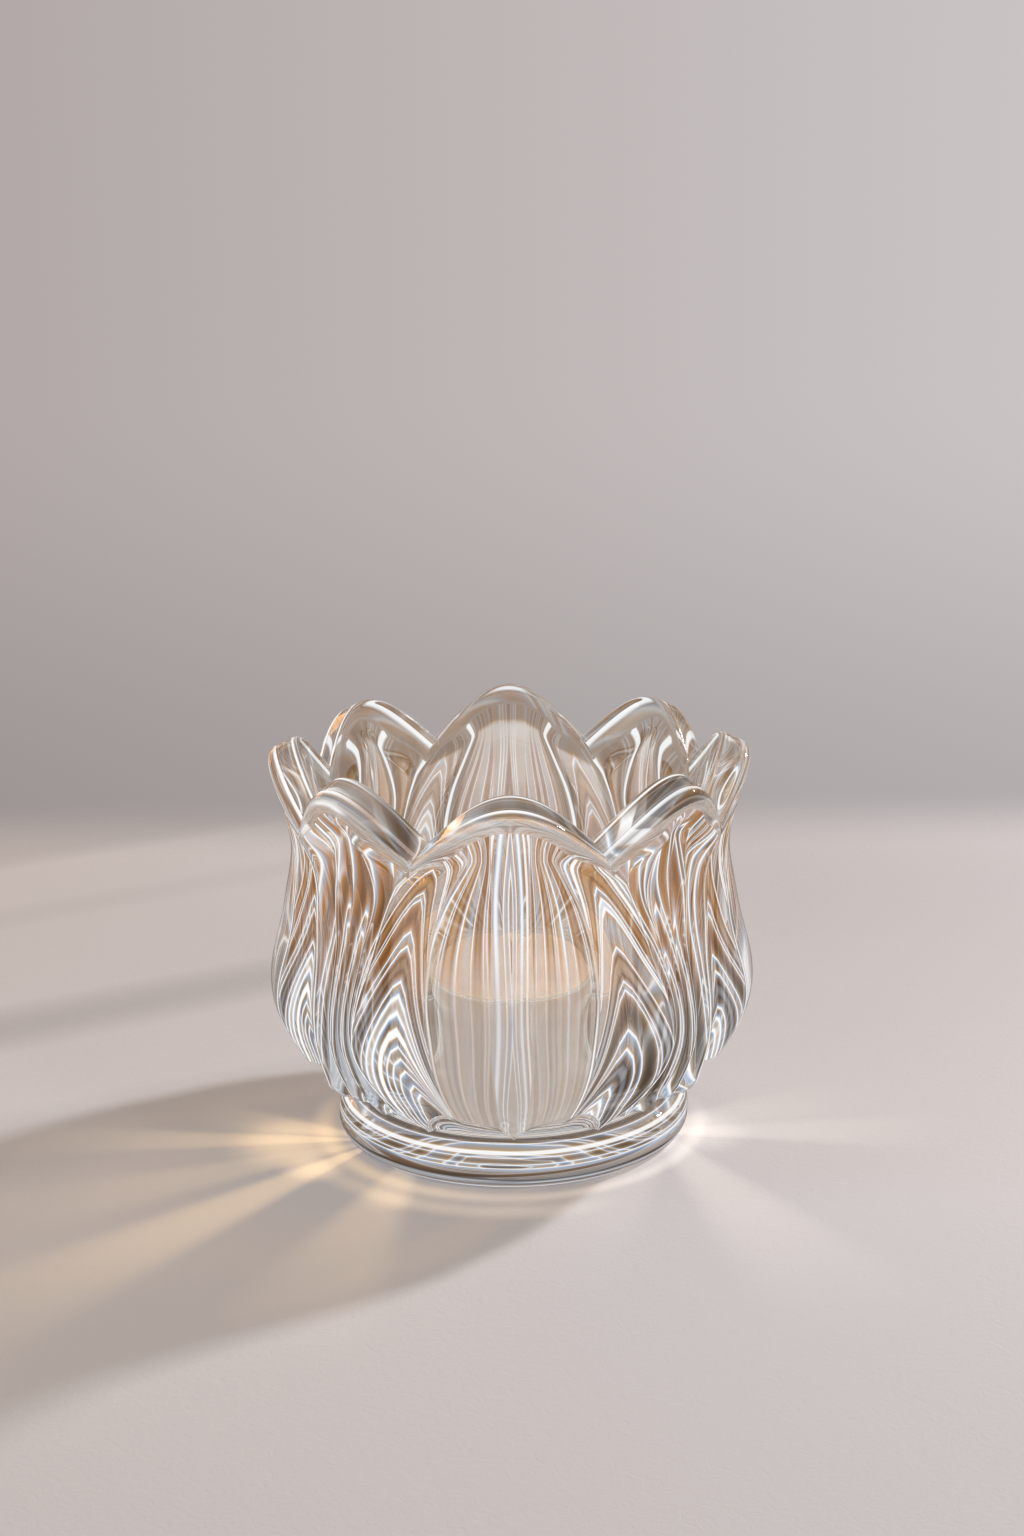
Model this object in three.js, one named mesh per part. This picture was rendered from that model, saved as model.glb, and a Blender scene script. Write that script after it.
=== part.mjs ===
// Lotus candle holder: one heavy piece of clear pressed crystal, with the tealight that it holds.
// Millimetres, +Z up. The origin is the centre of the foot's standing ring and -Y is the front.
import * as THREE from "three";

const { degToRad, lerp, smoothstep } = THREE.MathUtils;

// Foot: a thick disc with a fully rounded edge, hollowed a little below so that it stands on a ring.
const footRadius = 37;
const footHeight = 9.4;
const footLowerRound = 2.6;
const footUpperRound = 4.8;
const standingRingWidth = 5.5;
const recessDepth = 1.2;
const recessSlope = 2.5;
const footNeckInset = 5.2;
const footNeckHeight = 1;

// Outer wall, measured on the crests of the petals: out to the belly, in to the neck, out to the lip.
const petalBaseRadius = 35.6;
const petalBaseHeight = 8.8;
const lowerWallRadius = 43.5;
const lowerWallHeight = 17.2;
const bellyRadius = 50.4;
const bellyHeight = 32;
const shoulderRadius = 46.9;
const shoulderHeight = 51.2;
const neckRadius = 45.3;
const neckHeight = 64.2;
const lipRadius = 50;
const lipHeight = 81.8;

// Rim: eight rounded tips with a sharp notch between each two, and a wide polished face that falls outwards.
const tipHeight = 84.8;
const notchDepth = 11;
const rimFall = 3.2;
const notchFall = 3.4;
const outerEdgeRound = 2.4;
const innerEdgeRound = 1.2;
const outerNotchAzimuth = 24;
const innerNotchAzimuth = 22.5;
const notchSoftness = 0.3;

// Cavity: the smooth tapered hollow left by the plunger, with a bowl-shaped bottom and a flat floor.
const cavityMouthRadius = 43.2;
const cavityNeckRadius = 39.4;
const cavityNeckHeight = 67;
const mouthFlare = 1.4;
const cavityWaistRadius = 38;
const cavityWaistHeight = 41;
const cavityBowlRadius = 34;
const cavityFloorRadius = 22;
const cavityFloorHeight = 10.4;

// Petals: four in front and four tucked behind them. A front petal has a narrow groove down its middle, a smooth
// lobe on each side of it and a deep flute beside each lobe. A tucked petal has two flutes that meet in its middle.
const petalPairs = 4;
const ribGrooveDepth = 0.5;
const tuckedFluteDepth = 1.6;
const tuck = 1.8;
const tuckWidth = 0.35;
const smoothBand = 3;
const fluteFade = 6;
const petalPointHeight = 11.2;
const petalArch = 6.5;
const tuckedPointRise = 1;
const tuckedArch = 1.5;

// The outer flute's depth at heights above the standing ring: deepest below the belly, shallow at the neck.
const outerFluteLine = [[12, 2.2], [19, 3.6], [28, 3.6], [42, 2.9], [58, 2.1], [72, 1.4]];

// Ridge lines, as height above the standing ring and half angle from the middle of a front petal.
const ribLine = [[13, 2.6], [22, 3.8], [47, 4.3], [72, 4.4]];
const petalEdgeLine = [[13, 25.5], [21, 34.5], [30, 38.5], [40, 38], [51, 35], [61, 31.5], [72, 24]];
const innerRidgeLine = [[13, 12.5], [22, 16], [34, 18], [47, 20], [60, 17.5], [72, 10]];
const tuckedRidgeLine = [[13, 35], [30, 41], [49, 40.5], [61, 37.5], [73, 41]];

// Tealight: a clear cup that holds the wax, with the wick standing in its metal sustainer.
const tealightRadius = 19;
const cupHeight = 18;
const cupWall = 0.5;
const cupBottomRound = 1.2;
const seatGap = 0.3;
const waxHeight = 15.6;
const waxEdgeRound = 0.6;
const sustainerRadius = 6.5;
const sustainerSheet = 0.3;
const collarRadius = 1.5;
const collarHeight = 3.2;
const wickRadius = 0.7;
const wickExposed = 6;

// Mesh fineness: steps across half the rib groove, a lobe and each flute, and rows on each surface.
const ribSteps = 2;
const lobeSteps = 3;
const outerFluteSteps = 5;
const tuckedFluteSteps = 3;
const wallRows = 17;
const cornerRows = 3;
const footRoundRows = 3;
const cavityRows = 4;
const bowlRows = 6;
const roundSides = 48;
const wickSides = 12;

const glass = new THREE.MeshStandardMaterial({
  name: "clear pressed crystal", color: 0xf4f6f6, roughness: 0.02, metalness: 0, transparent: true, opacity: 0.35,
});
const clearPlastic = new THREE.MeshStandardMaterial({
  name: "clear polycarbonate", color: 0xf2f0ec, roughness: 0.08, metalness: 0, transparent: true, opacity: 0.45,
});
const paraffin = new THREE.MeshStandardMaterial({ name: "ivory paraffin wax", color: 0xf3e6d2, roughness: 0.45 });
const cotton = new THREE.MeshStandardMaterial({ name: "waxed cotton wick", color: 0xefe6d6, roughness: 0.9 });
const tinplate = new THREE.MeshStandardMaterial({ name: "tinplate", color: 0xc9c7c1, roughness: 0.3, metalness: 1 });

// A smooth value read off a line of [height, value] points, eased between each two.
function readLine(line, height) {
  if (height <= line[0][0]) return line[0][1];
  for (let i = 1; i < line.length; i += 1) {
    const [lowHeight, lowValue] = line[i - 1];
    const [highHeight, highValue] = line[i];
    if (height <= highHeight) {
      const before = line[Math.max(i - 2, 0)];
      const after = line[Math.min(i + 1, line.length - 1)];
      const span = highHeight - lowHeight;
      const slopeIn = ((highValue - before[1]) / (highHeight - before[0])) * span;
      const slopeOut = ((after[1] - lowValue) / (after[0] - lowHeight)) * span;
      const t = (height - lowHeight) / span;
      const t2 = t * t;
      const t3 = t2 * t;
      return (2 * t3 - 3 * t2 + 1) * lowValue + (t3 - 2 * t2 + t) * slopeIn
        + (3 * t2 - 2 * t3) * highValue + (t3 - t2) * slopeOut;
    }
  }
  return line[line.length - 1][1];
}

const wallLine = [
  [petalBaseHeight, petalBaseRadius],
  [lowerWallHeight, lowerWallRadius],
  [bellyHeight, bellyRadius],
  [shoulderHeight, shoulderRadius],
  [neckHeight, neckRadius],
  [lipHeight, lipRadius],
];

// The cavity's radius at a height above its waist: a slight taper up to its neck, then the flare of the mouth.
function cavityRadius(height) {
  const taper = (height - cavityWaistHeight) / (cavityNeckHeight - cavityWaistHeight);
  if (height <= cavityNeckHeight) return lerp(cavityWaistRadius, cavityNeckRadius, taper);
  const flare = (height - cavityNeckHeight) / (tipHeight - cavityNeckHeight);
  return lerp(cavityNeckRadius, cavityMouthRadius, flare ** mouthFlare);
}

// Columns of the glass are counted from the middle of a front petal (0) through its rib line, inner ridge and edge
// to the middle of the tucked petal beside it, then mirrored, so that each ridge has its own column.
const ribColumn = ribSteps;
const innerRidgeColumn = ribColumn + lobeSteps;
const edgeColumn = innerRidgeColumn + outerFluteSteps;
const tuckedRidgeColumn = edgeColumn + tuckedFluteSteps;
const tuckedMiddleColumn = edgeColumn + 2 * tuckedFluteSteps;
const columnsPerPair = 2 * tuckedMiddleColumn;
const glassColumns = petalPairs * columnsPerPair;
const halfPair = 180 / petalPairs;

// A column's angle where its ridges run on the wall, and where they end at the rim.
function ridgeAzimuth(column, height) {
  const stops = [
    [0, 0],
    [ribColumn, readLine(ribLine, height)],
    [innerRidgeColumn, readLine(innerRidgeLine, height)],
    [edgeColumn, readLine(petalEdgeLine, height)],
    [tuckedRidgeColumn, readLine(tuckedRidgeLine, height)],
    [tuckedMiddleColumn, halfPair],
  ];
  const next = stops.findIndex(([stop], i) => i > 0 && column <= stop);
  const [lowColumn, lowAngle] = stops[next - 1];
  const [highColumn, highAngle] = stops[next];
  return lerp(lowAngle, highAngle, (column - lowColumn) / (highColumn - lowColumn));
}

function rimAzimuth(column, notchAzimuth) {
  if (column <= edgeColumn) return (notchAzimuth * column) / edgeColumn;
  return lerp(notchAzimuth, halfPair, (column - edgeColumn) / (tuckedMiddleColumn - edgeColumn));
}

// The arch of a petal tip: 1 at its middle, 0 in the notch, a parabola that the fire polish softens at the notch.
function tipArch(column) {
  const t = column <= edgeColumn
    ? column / edgeColumn
    : (tuckedMiddleColumn - column) / (tuckedMiddleColumn - edgeColumn);
  return lerp(1 - t * t, (1 + Math.cos(Math.PI * t)) / 2, notchSoftness);
}

function innerRimHeight(column) {
  return tipHeight - notchDepth * (1 - tipArch(column));
}

function outerRimHeight(column) {
  return innerRimHeight(column) - lerp(notchFall, rimFall, tipArch(column));
}

// How far the wall lies below the petals' crests: nothing on a ridge or a lobe, deepest halfway across a flute.
function fluteDepth(column, height) {
  const fade = smoothstep(outerRimHeight(column) - smoothBand - height, 0, fluteFade);
  const groove = (from, to) => {
    const t = (column - from) / (to - from);
    return 4 * t * (1 - t);
  };
  if (column <= ribColumn) return fade * ribGrooveDepth * groove(-ribColumn, ribColumn);
  if (column <= innerRidgeColumn) return 0;
  if (column <= edgeColumn) return fade * readLine(outerFluteLine, height) * groove(innerRidgeColumn, edgeColumn);
  const tuckEnd = lerp(edgeColumn, tuckedRidgeColumn, tuckWidth);
  const behind = fade * tuck * smoothstep(column, edgeColumn, tuckEnd);
  if (column <= tuckedRidgeColumn) return behind + fade * tuckedFluteDepth * groove(edgeColumn, tuckedRidgeColumn);
  return behind + fade * tuckedFluteDepth * groove(tuckedRidgeColumn, tuckedMiddleColumn);
}

// Where the petals end above the foot: a point below each rib and edge, with an arch between two points.
function petalBottomHeight(column) {
  if (column <= edgeColumn) {
    const t = column / edgeColumn;
    return petalPointHeight + tuckedPointRise * t + petalArch * 4 * t * (1 - t);
  }
  const t = (column - edgeColumn) / (tuckedMiddleColumn - edgeColumn);
  return petalPointHeight + tuckedPointRise + tuckedArch * 4 * t * (1 - t);
}

// A point of the outer wall in column and height, as [radius, angle, height].
function wallPoint(column, height) {
  const toRim = smoothstep(height, outerRimHeight(column) - fluteFade, outerRimHeight(column));
  const azimuth = lerp(ridgeAzimuth(column, height), rimAzimuth(column, outerNotchAzimuth), toRim);
  return [readLine(wallLine, height) - fluteDepth(column, height), azimuth, height];
}

function mix(from, to, t) {
  return from.map((value, i) => lerp(value, to[i], t));
}

// A rounded corner between three points, at t from 0 on the first side to 1 on the second.
function corner(before, at, after, t) {
  return mix(mix(before, at, t), mix(at, after, t), t);
}

// The rows of the glass from the middle of its underside, round the outside and over the rim to the cavity floor.
// Each row gives [radius, angle, height] for a column.
function glassRows() {
  const rows = [];
  const plain = (radius, height) => rows.push((column) => [radius, rimAzimuth(column, halfPair / 2), height]);
  const ringOuter = footRadius - footLowerRound;
  const ringInner = ringOuter - standingRingWidth;
  plain(0, recessDepth);
  plain(ringInner - recessSlope, recessDepth);
  plain(ringInner, 0);
  plain(ringOuter, 0);
  for (let i = 1; i <= footRoundRows; i += 1) {
    const turn = (Math.PI / 2) * (i / footRoundRows);
    plain(ringOuter + footLowerRound * Math.sin(turn), footLowerRound * (1 - Math.cos(turn)));
  }
  for (let i = 0; i <= footRoundRows; i += 1) {
    const turn = (Math.PI / 2) * (i / footRoundRows);
    const radius = footRadius - footUpperRound * (1 - Math.cos(turn));
    plain(radius, footHeight - footUpperRound * (1 - Math.sin(turn)));
  }
  plain(footRadius - footNeckInset, footHeight + footNeckHeight);
  for (let row = 0; row <= wallRows; row += 1) {
    rows.push((column) => {
      const top = outerRimHeight(column) - outerEdgeRound;
      return wallPoint(column, lerp(petalBottomHeight(column), top, row / wallRows));
    });
  }
  const outerCorner = (column) => wallPoint(column, outerRimHeight(column));
  const innerCorner = (column) => {
    const height = innerRimHeight(column);
    return [cavityRadius(height), rimAzimuth(column, innerNotchAzimuth), height];
  };
  const onFace = (column, fromOuter, length) => {
    const outer = outerCorner(column);
    const inner = innerCorner(column);
    const width = Math.hypot(outer[0] - inner[0], outer[2] - inner[2]);
    return mix(outer, inner, fromOuter ? length / width : 1 - length / width);
  };
  const cavityPoint = (column, height) => [
    cavityRadius(height), rimAzimuth(column, innerNotchAzimuth), height,
  ];
  for (let i = 1; i <= cornerRows; i += 1) {
    rows.push((column) => {
      const below = wallPoint(column, outerRimHeight(column) - outerEdgeRound);
      return corner(below, outerCorner(column), onFace(column, true, outerEdgeRound), i / cornerRows);
    });
  }
  for (let i = 0; i < cornerRows; i += 1) {
    rows.push((column) => {
      const below = cavityPoint(column, innerRimHeight(column) - innerEdgeRound);
      return corner(onFace(column, false, innerEdgeRound), innerCorner(column), below, i / (cornerRows - 1));
    });
  }
  for (let i = 1; i <= cavityRows; i += 1) {
    rows.push((column) => {
      const top = innerRimHeight(column) - innerEdgeRound;
      return cavityPoint(column, lerp(top, cavityWaistHeight, i / cavityRows));
    });
  }
  const bowl = new THREE.QuadraticBezierCurve(
    new THREE.Vector2(cavityWaistRadius, cavityWaistHeight),
    new THREE.Vector2(cavityBowlRadius, cavityFloorHeight),
    new THREE.Vector2(cavityFloorRadius, cavityFloorHeight),
  );
  for (const { x: radius, y: height } of bowl.getPoints(bowlRows).slice(1)) {
    rows.push((column) => [radius, rimAzimuth(column, innerNotchAzimuth), height]);
  }
  rows.push((column) => [0, rimAzimuth(column, innerNotchAzimuth), cavityFloorHeight]);
  return rows;
}

// The holder is a lathe turned to one plain outline, whose grid is then drawn into the petals.
function glassHolder() {
  const rows = glassRows();
  const outline = rows.map((row) => {
    const [radius, , height] = row(0);
    return new THREE.Vector2(radius, height);
  });
  const geometry = new THREE.LatheGeometry(outline, glassColumns).rotateX(Math.PI / 2);
  const position = geometry.attributes.position;
  for (let i = 0; i < position.count; i += 1) {
    const step = Math.floor(i / rows.length) % glassColumns;
    const inPair = step % columnsPerPair;
    const mirrored = inPair > tuckedMiddleColumn;
    const column = mirrored ? columnsPerPair - inPair : inPair;
    const pair = (step - inPair) / columnsPerPair + (mirrored ? 1 : 0);
    const [radius, azimuth, height] = rows[i % rows.length](column);
    const angle = degToRad(2 * halfPair * pair + (mirrored ? -azimuth : azimuth));
    position.setXYZ(i, radius * Math.sin(angle), -radius * Math.cos(angle), height);
  }
  geometry.computeVertexNormals();
  return new THREE.Mesh(geometry, glass);
}

// A turned piece: its outline goes up the outside, and its foot is at the given height.
function turned(outline, sides, material, height) {
  const points = outline.map(([radius, level]) => new THREE.Vector2(radius, level));
  const mesh = new THREE.Mesh(new THREE.LatheGeometry(points, sides).rotateX(Math.PI / 2), material);
  mesh.position.z = height;
  return mesh;
}

// The clear cup: a thin wall on a flat bottom, open above.
function tealightCup() {
  const outline = [
    [0, 0],
    [tealightRadius - cupBottomRound, 0],
    [tealightRadius, cupBottomRound],
    [tealightRadius, cupHeight],
    [tealightRadius - cupWall, cupHeight],
    [tealightRadius - cupWall, cupBottomRound + cupWall],
    [tealightRadius - cupWall - cupBottomRound, cupWall],
    [0, cupWall],
  ];
  return turned(outline, roundSides, clearPlastic, 0);
}

// The wax: a poured block that fills the cup, hollow below for the sustainer and bored for the wick.
function tealightWax() {
  const outer = tealightRadius - cupWall - seatGap;
  const roof = 2 * seatGap + sustainerSheet;
  const outline = [
    [sustainerRadius + seatGap, 0],
    [outer - cupBottomRound, 0],
    [outer, cupBottomRound],
    [outer, waxHeight - waxEdgeRound],
    [outer - waxEdgeRound, waxHeight],
    [wickRadius + seatGap, waxHeight],
    [wickRadius + seatGap, roof + collarHeight],
    [collarRadius + seatGap, roof + collarHeight],
    [collarRadius + seatGap, roof],
    [sustainerRadius + seatGap, roof],
    [sustainerRadius + seatGap, 0],
  ];
  return turned(outline, roundSides, paraffin, cupWall + seatGap);
}

// The sustainer: a round tinplate tab whose collar grips the foot of the wick.
function wickSustainer() {
  const bore = wickRadius + seatGap;
  const outline = [
    [0, 0],
    [sustainerRadius, 0],
    [sustainerRadius, sustainerSheet],
    [collarRadius, sustainerSheet],
    [collarRadius, sustainerSheet + collarHeight],
    [bore, sustainerSheet + collarHeight],
    [bore, sustainerSheet],
    [0, sustainerSheet],
  ];
  return turned(outline, roundSides, tinplate, cupWall + seatGap);
}

// The wick: a waxed cotton braid from the sustainer up through the wax.
function tealightWick() {
  const foot = cupWall + 2 * seatGap + sustainerSheet;
  const length = cupWall + seatGap + waxHeight + wickExposed - foot;
  const outline = [[0, 0], [wickRadius, 0], [wickRadius, length], [0, length]];
  return turned(outline, wickSides, cotton, foot);
}

function named(mesh, name) {
  mesh.name = name;
  return mesh;
}

const tealight = new THREE.Group();
tealight.position.z = cavityFloorHeight + seatGap;
tealight.add(
  named(tealightCup(), "tealight_cup"),
  named(tealightWax(), "tealight_wax"),
  named(wickSustainer(), "wick_sustainer"),
  named(tealightWick(), "tealight_wick"),
);

const candleHolder = new THREE.Group();
candleHolder.add(named(glassHolder(), "glass_holder"), tealight);

export default candleHolder;
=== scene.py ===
import math

import bmesh
import bpy
from mathutils import Matrix, Vector


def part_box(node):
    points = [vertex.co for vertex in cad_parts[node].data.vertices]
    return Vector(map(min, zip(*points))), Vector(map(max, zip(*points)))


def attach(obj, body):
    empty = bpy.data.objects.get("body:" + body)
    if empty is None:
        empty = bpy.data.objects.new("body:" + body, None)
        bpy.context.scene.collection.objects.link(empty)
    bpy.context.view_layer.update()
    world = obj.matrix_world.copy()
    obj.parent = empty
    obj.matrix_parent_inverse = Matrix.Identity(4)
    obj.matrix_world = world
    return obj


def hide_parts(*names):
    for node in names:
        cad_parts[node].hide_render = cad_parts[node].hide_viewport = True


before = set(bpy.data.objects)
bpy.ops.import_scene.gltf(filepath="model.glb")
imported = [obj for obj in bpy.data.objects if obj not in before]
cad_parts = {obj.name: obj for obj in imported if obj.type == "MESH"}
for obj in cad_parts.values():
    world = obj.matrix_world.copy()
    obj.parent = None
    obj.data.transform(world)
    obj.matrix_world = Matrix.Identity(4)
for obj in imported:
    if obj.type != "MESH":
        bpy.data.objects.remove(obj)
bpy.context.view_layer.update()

MM = 0.001

# Camera. It stands about half a metre in front of the holder and looks down on it a little, as in the
# photograph. The frame is 1024 pixels wide and 1536 high, and the sensor's width lies along the long side.
PHOTO_HEIGHT_PX = 1536
SENSOR = 36
FOCAL_PX = 2497
AXIS_OFFSET_PX = 2.6
camera_distance = 0.4932
camera_height = 0.2164
camera_pitch = math.radians(15.75)
camera_roll = 0.012
lens = bpy.data.cameras.new("camera")
lens.sensor_width = SENSOR
lens.lens = FOCAL_PX * SENSOR / PHOTO_HEIGHT_PX
lens.shift_x = AXIS_OFFSET_PX / PHOTO_HEIGHT_PX
lens.clip_start = 0.01
lens.clip_end = 20
camera = bpy.data.objects.new("camera", lens)
camera.matrix_world = (
    Matrix.Translation((0, -camera_distance, camera_height))
    @ Matrix.Rotation(math.pi / 2 - camera_pitch, 4, "X")
    @ Matrix.Rotation(-camera_roll, 4, "Z")
)
bpy.context.collection.objects.link(camera)
bpy.context.scene.camera = camera
bpy.context.scene.view_settings.view_transform = "Standard"

# Studio. A square table top of pale matt board, with a plain warm grey room behind and round it. The board's
# edge fades out, so that no horizon cuts the picture. The light comes from a low lamp behind the holder, on
# its right.
table_half_side = 0.214
table_blur = 0.03
floor_mesh = bpy.data.meshes.new("studio_table")
bm = bmesh.new()
bmesh.ops.create_grid(bm, x_segments=1, y_segments=1, size=table_half_side + table_blur)
bm.to_mesh(floor_mesh)
bm.free()
table = bpy.data.objects.new("studio_table", floor_mesh)
bpy.context.collection.objects.link(table)


def linear(hex_colour):
    """An sRGB hex colour as linear red, green, blue and alpha."""
    channels = [int(hex_colour[i:i + 2], 16) / 255 for i in (1, 3, 5)]
    return [c / 12.92 if c <= 0.04045 else ((c + 0.055) / 1.055) ** 2.4 for c in channels] + [1]


def add_node(tree, kind, settings=None, **inputs):
    """Adds a shader node: settings are its properties, inputs are values or sockets by name or number."""
    node = tree.nodes.new(kind)
    for name, value in (settings or {}).items():
        setattr(node, name, value)
    for name, value in inputs.items():
        key = name.replace("_", " ")
        socket = node.inputs[int(name[1:])] if name[0] == "i" and name[1:].isdigit() else node.inputs[key]
        if isinstance(value, bpy.types.NodeSocket):
            tree.links.new(value, socket)
        else:
            socket.default_value = value
    return node


SMOOTH = {"interpolation_type": "SMOOTHSTEP"}
COLOURS = {"data_type": "RGBA"}


def set_stops(ramp, stops):
    """Sets a colour ramp's stops from (position, colour) pairs."""
    elements = ramp.color_ramp.elements
    elements[0].position, elements[0].color = stops[0][0], linear(stops[0][1])
    elements[1].position, elements[1].color = stops[-1][0], linear(stops[-1][1])
    for position, colour in stops[1:-1]:
        elements.new(position).color = linear(colour)


def new_material(name, **inputs):
    """A new material, its node tree and its Principled shader, with the shader's own inputs set by name."""
    material = bpy.data.materials.new(name)
    material.use_nodes = True
    shader = material.node_tree.nodes["Principled BSDF"]
    for key, value in inputs.items():
        shader.inputs[key.replace("_", " ")].default_value = value
    return material, material.node_tree, shader


# The board is uncoated card: its short fibres scatter the light, so that it has a soft tooth and no shine.
# Fibres are too fine to show from here, so the tooth is drawn coarser than the real one.
board_tooth = 2.381 * MM
tooth_depth = 0.2 * MM
board, tree, shader = new_material("pale matt board", Roughness=0.75, Specular_IOR_Level=0.3)
place = add_node(tree, "ShaderNodeTexCoord")
parts = add_node(tree, "ShaderNodeSeparateXYZ", Vector=place.outputs["Object"])
across = add_node(tree, "ShaderNodeMath", {"operation": "ABSOLUTE"}, i0=parts.outputs["X"])
along = add_node(tree, "ShaderNodeMath", {"operation": "ABSOLUTE"}, i0=parts.outputs["Y"])
reach = add_node(tree, "ShaderNodeMath", {"operation": "MAXIMUM"}, i0=across.outputs[0], i1=along.outputs[0])
solid = add_node(
    tree, "ShaderNodeMapRange", SMOOTH, Value=reach.outputs[0],
    From_Min=table_half_side + table_blur, From_Max=table_half_side - table_blur,
)
tree.links.new(solid.outputs[0], shader.inputs["Alpha"])
grain = add_node(
    tree, "ShaderNodeTexNoise", Vector=place.outputs["Object"], Scale=1 / board_tooth, Detail=2,
    Distortion=1.5,
)
tooth = add_node(tree, "ShaderNodeBump", Strength=0.35, Distance=tooth_depth, Height=grain.outputs[0])
tree.links.new(tooth.outputs["Normal"], shader.inputs["Normal"])

# Soft bands of painted shade darken the board's colour along the direction of the light, as a window's bars
# would cast them. The ramp runs from the middle to the last band, and the bands are weaker on the right,
# where the light is broader.
light_azimuth = math.radians(29)
band_span = 250 * MM
band_shade = 0.3
band_shade_right = 0.9 * band_shade
band_change = 60 * MM
offset = add_node(
    tree, "ShaderNodeVectorMath", {"operation": "DOT_PRODUCT"}, i0=place.outputs["Object"],
    i1=(-math.sin(light_azimuth), math.cos(light_azimuth), 0),
)
along_bands = add_node(
    tree, "ShaderNodeMapRange", Value=offset.outputs["Value"], From_Min=0, From_Max=band_span,
)
bands_ramp = add_node(tree, "ShaderNodeValToRGB", i0=along_bands.outputs[0])
bands_ramp.color_ramp.interpolation = "EASE"
set_stops(bands_ramp, (
    (0.05, "#000000"), (0.17, "#B4B4B4"), (0.26, "#000000"), (0.33, "#000000"), (0.42, "#EEEEEE"),
    (0.52, "#000000"), (0.62, "#000000"), (0.73, "#C4C4C4"), (0.83, "#000000"), (0.94, "#F2F2F2"),
))
band_strength = add_node(
    tree, "ShaderNodeMapRange", SMOOTH, Value=parts.outputs["X"],
    From_Min=-band_change, From_Max=band_change, To_Min=band_shade, To_Max=band_shade_right,
)
painted_band_shade = add_node(
    tree, "ShaderNodeMath", {"operation": "MULTIPLY"}, i0=bands_ramp.outputs[0],
    i1=band_strength.outputs[0],
)

# Painted shade also darkens the board towards the back, most on the right.
far_shade_left = 0.12
far_shade_right = 0.26
far_change = 80 * MM
far_start = -50 * MM
far_end = 170 * MM
to_right = add_node(
    tree, "ShaderNodeMapRange", SMOOTH, Value=parts.outputs["X"],
    From_Min=-far_change, From_Max=far_change, To_Min=far_shade_left, To_Max=far_shade_right,
)
far_shade = add_node(
    tree, "ShaderNodeMapRange", SMOOTH, Value=parts.outputs["Y"],
    From_Min=far_start, From_Max=far_end, To_Min=0, To_Max=to_right.outputs[0],
)
painted_shade = add_node(
    tree, "ShaderNodeMath", {"operation": "MAXIMUM"}, i0=painted_band_shade.outputs[0], i1=far_shade.outputs[0],
)
# The board's own colour, darkened by the painted shade.
tone = add_node(
    tree, "ShaderNodeMix", COLOURS, i0=painted_shade.outputs[0],
    i6=linear("#DDD8D7"), i7=linear("#000000"),
)
tree.links.new(tone.outputs[2], shader.inputs["Base Color"])


def towards(tree, offset, azimuth, half_span, strength):
    """Strength where an offset on the board points to the azimuth, in degrees, and 0 a half span off it."""
    way = add_node(tree, "ShaderNodeVectorMath", {"operation": "NORMALIZE"}, i0=offset)
    turn = math.radians(azimuth)
    facing = add_node(
        tree, "ShaderNodeVectorMath", {"operation": "DOT_PRODUCT"}, i0=way.outputs[0],
        i1=(math.cos(turn), math.sin(turn), 0),
    )
    return add_node(
        tree, "ShaderNodeMapRange", SMOOTH, Value=facing.outputs["Value"],
        From_Min=math.cos(math.radians(half_span)), From_Max=1, To_Min=0, To_Max=strength,
    )


def light_ray(tree, place, origin, azimuth, half_width, reach, strength):
    """A soft ray of painted light on the board, in degrees and millimetres, that widens and fades from its
    origin.
    """
    away = add_node(
        tree, "ShaderNodeVectorMath", {"operation": "SUBTRACT"}, i0=place.outputs["Object"],
        i1=(origin[0] * MM, origin[1] * MM, 0),
    )
    across = towards(tree, away.outputs[0], azimuth, half_width, strength)
    distance = add_node(tree, "ShaderNodeVectorMath", {"operation": "LENGTH"}, i0=away.outputs[0])
    fading = add_node(
        tree, "ShaderNodeMapRange", SMOOTH, Value=distance.outputs["Value"],
        From_Min=ray_core * MM, From_Max=reach * MM, To_Min=1, To_Max=0,
    )
    return add_node(
        tree, "ShaderNodeMath", {"operation": "MULTIPLY"}, i0=across.outputs[0],
        i1=fading.outputs[0],
    )


def light_spot(tree, place, centre, radius, strength):
    """A soft round spot of painted light on the board, in millimetres."""
    away = add_node(
        tree, "ShaderNodeVectorMath", {"operation": "DISTANCE"}, i0=place.outputs["Object"],
        i1=(centre[0] * MM, centre[1] * MM, 0),
    )
    return add_node(
        tree, "ShaderNodeMapRange", {"interpolation_type": "SMOOTHERSTEP"}, Value=away.outputs["Value"],
        From_Min=radius * MM, From_Max=0, To_Min=0, To_Max=strength,
    )


def light_ring(tree, place, radius, half_width, azimuth, half_span, strength):
    """A soft arc of painted light round the foot, in millimetres and degrees."""
    distance = add_node(tree, "ShaderNodeVectorMath", {"operation": "LENGTH"}, i0=place.outputs["Object"])
    off = add_node(
        tree, "ShaderNodeMath", {"operation": "SUBTRACT"}, i0=distance.outputs["Value"], i1=radius * MM,
    )
    away = add_node(tree, "ShaderNodeMath", {"operation": "ABSOLUTE"}, i0=off.outputs[0])
    line = add_node(
        tree, "ShaderNodeMapRange", SMOOTH, Value=away.outputs[0],
        From_Min=half_width * MM, From_Max=0, To_Min=0, To_Max=strength,
    )
    spread = towards(tree, place.outputs["Object"], azimuth, half_span, 1)
    return add_node(
        tree, "ShaderNodeMath", {"operation": "MULTIPLY"}, i0=line.outputs[0],
        i1=spread.outputs[0],
    )
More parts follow.
